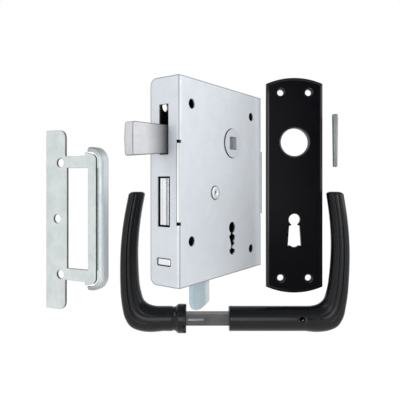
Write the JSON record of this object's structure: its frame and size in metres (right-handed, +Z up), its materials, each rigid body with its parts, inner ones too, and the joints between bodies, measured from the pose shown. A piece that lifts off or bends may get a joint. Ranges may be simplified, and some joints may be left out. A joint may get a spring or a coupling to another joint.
{
  "type": "rim box lock",
  "caption": "Rim box lock with a lifting latch, key bolt and night bolt, laid out with its keeper, lever pair on a spindle, keyhole escutcheon and taper pin.",
  "frame": {"origin": "middle of the face that lies on the door, at mid height and mid depth of the case", "axes": "+Z up along the case, +X out of the room-side plate along the spindle's axis, -Y out of the bolt front, the way the bolts are thrown"},
  "size_m": [0.1793, 0.1486, 0.1783],
  "materials": {
    "zinc_steel": "sheet steel, clear zinc plated, satin",
    "bright_steel": "milled steel, bright zinc plated",
    "blue_zinc": "sheet steel, bluish zinc plated",
    "spring_steel": "tempered spring steel strip",
    "plain_steel": "drawn steel, plain",
    "brass": "plain brass",
    "black_plastic": "moulded black plastic, satin",
    "black_gloss": "moulded black plastic, glossy"
  },
  "bodies": {
    "root": {"case_body": "zinc_steel", "back_plate": "zinc_steel", "guide_stud": "bright_steel", "cover_screw": "bright_steel", "tail_guide_pin": "bright_steel", "latch_pivot": "bright_steel", "latch_spacer": "brass", "latch_spring": "spring_steel", "latch_spring_rivet": "bright_steel", "tumbler_pin": "bright_steel", "tumbler_spring": "spring_steel", "tumbler_spring_rivet": "bright_steel", "night_spring": "spring_steel", "night_strap": "zinc_steel", "strap_rivets": "bright_steel", "keeper_plate": "zinc_steel", "keeper_staple": "zinc_steel", "escutcheon": "black_gloss", "spindle": "plain_steel", "lever_fixed": "black_plastic", "lever_collar": "black_plastic", "lever_pin": "plain_steel", "taper_pin": "plain_steel"},
    "follower_body": {"follower": "plain_steel"},
    "latch_body": {"latch": "bright_steel"},
    "deadbolt": {"deadbolt_head": "bright_steel", "deadbolt_tail": "zinc_steel", "deadbolt_rivets": "bright_steel"},
    "tumbler_body": {"tumbler": "brass"},
    "night_bolt_body": {"night_bolt": "bright_steel", "thumb_tab": "blue_zinc"},
    "loose_lever": {"lever_loose": "black_plastic"}
  },
  "joints": [
    {"name": "follower_turn", "type": "hinge", "parent": "root", "child": "follower_body", "pos_m": [0.0105, 0.0075, 0.025], "axis": [-1, 0, 0], "range_deg": [0, 24], "stiffness_Nm_per_rad": 0.12, "springref_deg": -28.65},
    {"name": "latch_lift", "type": "hinge", "parent": "root", "child": "latch_body", "pos_m": [0.01, 0.0385, 0.0295], "axis": [-1, 0, 0], "range_deg": [0, 7.3], "deforming": ["latch_spring"]},
    {"name": "deadbolt_slide", "type": "slide", "parent": "root", "child": "deadbolt", "axis": [0, -1, 0], "range_m": [0, 0.014]},
    {"name": "tumbler_lift", "type": "hinge", "parent": "root", "child": "tumbler_body", "pos_m": [0.0135, 0.0345, 0.0085], "axis": [-1, 0, 0], "range_deg": [0, 5], "stiffness_Nm_per_rad": 0.02, "springref_deg": -34.38, "deforming": ["tumbler_spring"]},
    {"name": "night_bolt_slide", "type": "slide", "parent": "root", "child": "night_bolt_body", "axis": [0, -1, 0], "range_m": [0, 0.01]},
    {"name": "loose_lever_slide", "type": "slide", "parent": "root", "child": "loose_lever", "axis": [0.8049, 0.5934, 0], "range_m": [-0.029, 0.028]}
  ],
  "couplings": [
    {"joint": "latch_lift", "follows": "follower_turn", "ratio": 0.3}
  ]
}
